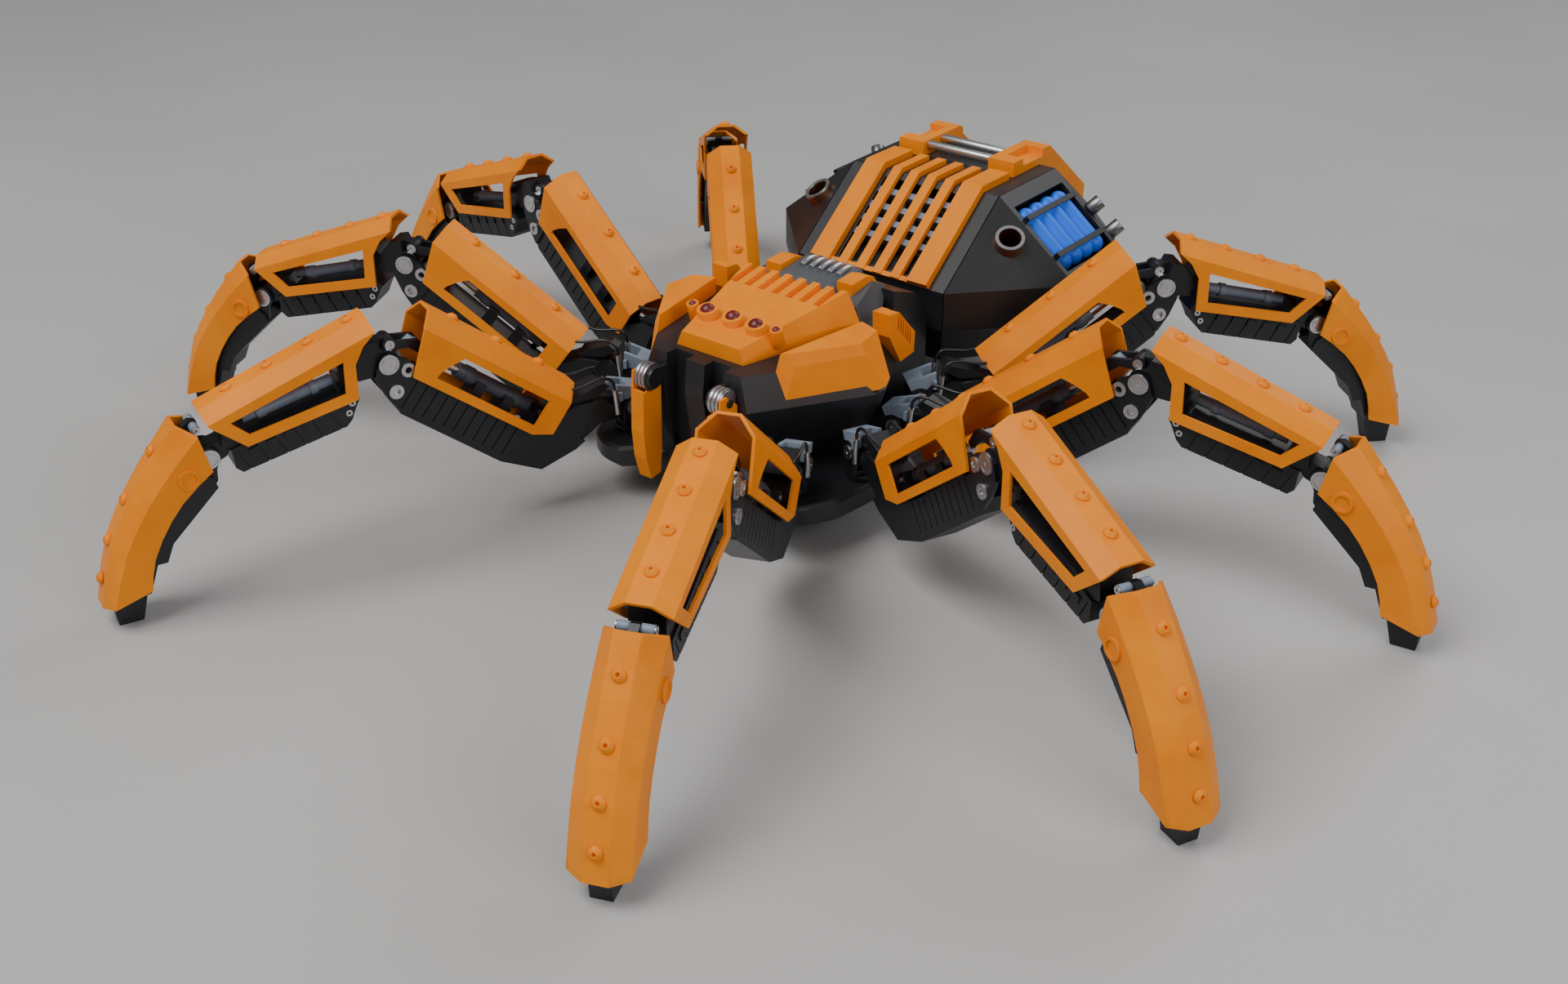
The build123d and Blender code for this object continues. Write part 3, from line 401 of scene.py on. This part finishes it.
# round ends as (x, z, radius, half width, hole radius) and round bars as (end, end, radius, material)
ROUND_ENDS = {"femur_frame": ((-12.9, -12.1, 4.3, 11.0, 2.3), (0.0, 0.0, 5.9, 12.0), (-12.1, 2.2, 4.2, 12.0)),
              "tibia_frame": ((-5.9, 7.6, 2.9, 6.5, 1.2), (27.6, -11.0, 1.9, 10.6, 0.8),
                              (31.6, -15.6, 1.9, 10.6, 0.8)),
              "tarsus": ((0.0, 0.0, 5.7, 9.4), (-13.6, 13.2, 2.2, 9.0, 0.9)),
              "hip_swivel": ((0.0, HIP_Z, 4.4, 8.0),)}
BARS = {"femur_frame": (((-98.0, 0, 12.6), (-45.0, 0, 12.6), 5.75, BARREL),
                        ((-45.0, 0, 12.6), (-31.0, 0, 12.9), 2.75, SILVER)),
        "tibia_frame": (((31.0, 0, 3.0), (88.0, 0, 8.0), 4.35, STEEL),)}
for leg in LEGS:
    for side, letter in ((1, "l"), (-1, "r")):
        rules = (("hip_swivel", "swivel", swivel_rule), ("femur_frame", "femur", femur_rule),
                 ("femur_armour", "femur", always(ORANGE)), ("tibia_frame", "tibia", tibia_rule),
                 ("tibia_armour", "tibia", always(ORANGE)), ("tarsus", "tarsus", tarsus_rule))
        for part, link, rule in rules:
            obj = NODES["%s_%s%s" % (part, letter, leg)]
            to_link = link_matrix(leg, side, link).inverted()
            paint(obj, to_link, rule)
            for spot in ROUND_ENDS.get(part, ()):
                repaint(obj, to_link, round_end(*spot), SILVER)
            for a, b, r, mat in BARS.get(part, ()):
                repaint(obj, to_link, round_bar(a, b, r), mat)
            soften(obj, 0.00022)

ROW = Matrix.Translation((0, -Y_SHIFT, 0))


def neck_rule(c, s):
    """Conduits silver, saddle dark."""
    return SILVER if s[0] < 8 else HULL


def cells_rule(c, s):
    """Cells blue; the long trays and straps black."""
    return BLUE if s[1] < 20 else BLACK


def pack_rule(c, s):
    """Tray and columns black, beams blue-grey, pipes dark."""
    if s[1] > 55 or s[0] > 62:
        return BLACK
    return STEEL if s[0] > 40 else BARREL


STUBS_Y = 210            # the rear stubs lie beyond this


def fitting_rule(c, s):
    """Handle rods silver, ring ports copper as a painted copper reflection, rear stubs dark chrome."""
    if s[0] > 50:
        return SILVER
    return COPPER_REFLECTION_PAINT if c[1] < STUBS_Y else DARK_CHROME


def fang_rule(c, s):
    """The long curved blade orange, its grooved disc silver."""
    return ORANGE if s[2] > 40 else SILVER


# node, rule, edge rounding in metres (none where the edges are left sharp)
BODY = (("chassis_plate", always(HULL), 0.0004),
        ("head_housing", always(HULL), 0.0006),
        ("head_armour", always(ORANGE), 0.0005),
        ("eye_lenses", always(LENS), 0.0),
        ("neck_assembly", neck_rule, 0.0003),
        ("fang_left", fang_rule, 0.0002),
        ("fang_right", fang_rule, 0.0002),
        ("abdomen_shell", always(HULL), 0.0004),
        ("abdomen_armour", always(ORANGE), 0.0004),
        ("abdomen_fittings", fitting_rule, 0.0003),
        ("gas_cylinders", cells_rule, 0.0),
        ("power_pack", pack_rule, 0.0003))
for name, rule, width in BODY:
    paint(NODES[name], ROW, rule)
    if width:
        soften(NODES[name], width)
    else:
        shade(NODES[name])

PORT_DIR = Vector((0.33, 0.44, 0.835)).normalized()
PORT_MOUTH = 77.4 * PORT_DIR.x - 181.3 * PORT_DIR.y + 134.7 * PORT_DIR.z
RIM_DEPTH = 1.3
COLLAR_REAR, COLLAR_LOW, COLLAR_INNER = 92.3, 96.0, 16.5


def port_rim(pts):
    """The last 1.2 mm of a ring port."""
    away = [abs(p[0]) * PORT_DIR.x - p[1] * PORT_DIR.y + p[2] * PORT_DIR.z for p in pts]
    return pts[:, 1].mean() < STUBS_Y and min(away) > PORT_MOUTH - RIM_DEPTH


def collar_face(pts):
    """The grey collar and its side faces, which share corners with the saddle."""
    in_front = pts[:, 1].min() < COLLAR_REAR and pts[:, 2].min() > COLLAR_LOW
    return in_front and abs(pts[:, 0]).max() > COLLAR_INNER


repaint(NODES["abdomen_fittings"], ROW, port_rim, SILVER)
repaint(NODES["neck_assembly"], ROW, collar_face, GREY)

# ------------------------------------------------------------------ hoses over the hip joints
HOSE_RADIUS = 0.00095
PATH_STEPS = 6           # pieces of curve between two given points
SIDES = 12               # flats round a hose


def smooth_path(points):
    """Catmull-Rom curve through the points."""
    pts = [points[0]] + list(points) + [points[-1]]
    out = []
    for p0, p1, p2, p3 in zip(pts, pts[1:], pts[2:], pts[3:]):
        for k in range(PATH_STEPS):
            t = k / PATH_STEPS
            out.append(0.5 * (2 * p1 + (p2 - p0) * t + (2 * p0 - 5 * p1 + 4 * p2 - p3) * t * t
                              + (3 * p1 - p0 - 3 * p2 + p3) * t ** 3))
    return out + [points[-1]]


def tube(name, points, radius, mat):
    """Closed round tube along a smooth path given in metres."""
    path = smooth_path([Vector(p) for p in points])
    bm = bmesh.new()
    rings = []
    across = None
    for k, p in enumerate(path):
        along = (path[min(k + 1, len(path) - 1)] - path[max(k - 1, 0)]).normalized()
        if across is None:
            across = along.orthogonal().normalized()
        across = (across - along * across.dot(along)).normalized()
        third = along.cross(across)
        turns = [2 * math.pi * i / SIDES for i in range(SIDES)]
        rings.append([bm.verts.new(p + radius * (across * math.cos(a) + third * math.sin(a))) for a in turns])
    for a, b in zip(rings, rings[1:]):
        for i in range(SIDES):
            bm.faces.new((a[i], a[(i + 1) % SIDES], b[(i + 1) % SIDES], b[i]))
    bm.faces.new(list(reversed(rings[0])))
    bm.faces.new(rings[-1])
    bmesh.ops.recalc_face_normals(bm, faces=bm.faces)
    me = bpy.data.meshes.new(name)
    bm.to_mesh(me)
    bm.free()
    me.shade_smooth()
    me.materials.append(mat)
    obj = bpy.data.objects.new(name, me)
    bpy.context.scene.collection.objects.link(obj)
    return obj


# offset to the side of the leg, and the route as (outward, up), millimetres in the swivel's frame
HOSES = {"near": (10.4, [(13.2, 71.6), (14.3, 76.0), (17.0, 79.6), (20.4, 80.4), (26.0, 79.8), (33.0, 79.2),
                         (39.5, 80.2), (42.6, 80.2)]),
         "far": (-10.4, [(13.1, 71.2), (14.2, 77.6), (18.4, 81.2), (23.6, 82.0), (30.4, 80.6), (36.2, 79.6),
                         (41.0, 79.4)])}
for leg in LEGS:
    for side, letter in ((1, "l"), (-1, "r")):
        root = link_matrix(leg, side, "swivel")
        for which, (n, route) in HOSES.items():
            path = [(root @ Vector((out, side * n, z))) * MM for out, z in route]
            hose = tube("hose_%s%s_%s" % (letter, leg, which), path, HOSE_RADIUS, HOSE)
            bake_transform(hose)

# ------------------------------------------------------------------ floor, light, camera
AZIMUTH, ELEVATION, ROLL = 38.0, 29.26, -0.15      # the camera, degrees
HALF_FLOOR, FLOOR_FRONT, FLOOR_BACK = 9.0, -6.0, 5.0
SWEEP, WALL_TOP = 2.0, 7.0


def plain_grey():
    """Matt grey of the studio floor."""
    mat, nt, bsdf = node_tree("studio_floor")
    cloud = noise(nt, 3.0, 4.0)
    grey = ramp(nt, cloud, [(0.3, (0.47, 0.47, 0.47)), (0.7, (0.51, 0.51, 0.51))])
    nt.links.new(grey, bsdf.inputs["Base Color"])
    nt.links.new(scalar(nt, cloud, 0.42, 0.5), bsdf.inputs["Roughness"])
    return mat


def studio():
    """Floor with a curved sweep up the back."""
    bm = bmesh.new()
    profile = [(FLOOR_FRONT, 0.0), (FLOOR_BACK, 0.0)]
    for a in np.linspace(0.1, math.pi / 2, 16):
        profile.append((FLOOR_BACK + SWEEP * math.sin(a), SWEEP - SWEEP * math.cos(a)))
    profile.append((FLOOR_BACK + SWEEP, WALL_TOP))
    rows = []
    for u, z in profile:
        rows.append([bm.verts.new((x, u, z)) for x in (-HALF_FLOOR, HALF_FLOOR)])
    for a, b in zip(rows, rows[1:]):
        bm.faces.new((a[0], a[1], b[1], b[0]))
    me = bpy.data.meshes.new("studio")
    bm.to_mesh(me)
    bm.free()
    me.shade_smooth()
    me.materials.append(plain_grey())
    obj = bpy.data.objects.new("studio", me)
    bpy.context.scene.collection.objects.link(obj)
    obj.rotation_euler = (0, 0, math.radians(AZIMUTH))


studio()


def area_light(name, place, target, size, power, colour=(1, 1, 1)):
    """Rectangular light at place, aimed at target; size in metres, power in watts."""
    data = bpy.data.lights.new(name, "AREA")
    data.shape = "RECTANGLE"
    data.size, data.size_y = size
    data.energy = power
    data.color = colour
    obj = bpy.data.objects.new(name, data)
    bpy.context.scene.collection.objects.link(obj)
    obj.location = place
    obj.rotation_euler = (Vector(target) - Vector(place)).to_track_quat("-Z", "Y").to_euler()


area_light("key", (-0.5, -1.1, 2.2), (0, 0, 0.05), (1.7, 1.3), 48.0, (1.0, 0.985, 0.96))
area_light("fill", (1.9, -0.5, 1.2), (0, 0, 0.05), (1.6, 1.0), 17.0)
area_light("back", (0.2, 1.9, 1.6), (0, 0, 0.1), (1.8, 0.8), 14.0)

world = bpy.data.worlds.new("world")
world.use_nodes = True
world.node_tree.nodes["Background"].inputs["Color"].default_value = (0.80, 0.80, 0.80, 1)
world.node_tree.nodes["Background"].inputs["Strength"].default_value = 0.27
bpy.context.scene.world = world

cam_data = bpy.data.cameras.new("camera")
cam_data.lens = 40.652
cam_data.sensor_width = 36.0
camera = bpy.data.objects.new("camera", cam_data)
bpy.context.scene.collection.objects.link(camera)
AZ, EL = math.radians(AZIMUTH), math.radians(ELEVATION)
back = Vector((math.sin(AZ) * math.cos(EL), -math.cos(AZ) * math.cos(EL), math.sin(EL)))
camera.rotation_mode = "QUATERNION"
roll = Matrix.Rotation(math.radians(ROLL), 3, "Z").to_quaternion()
camera.rotation_quaternion = (-back).to_track_quat("-Z", "Y") @ roll
camera.location = Vector((0.6205, -0.7496 + Y_SHIFT * MM, 0.5468))
cam_data.clip_start, cam_data.clip_end = 0.01, 60.0
bpy.context.scene.camera = camera
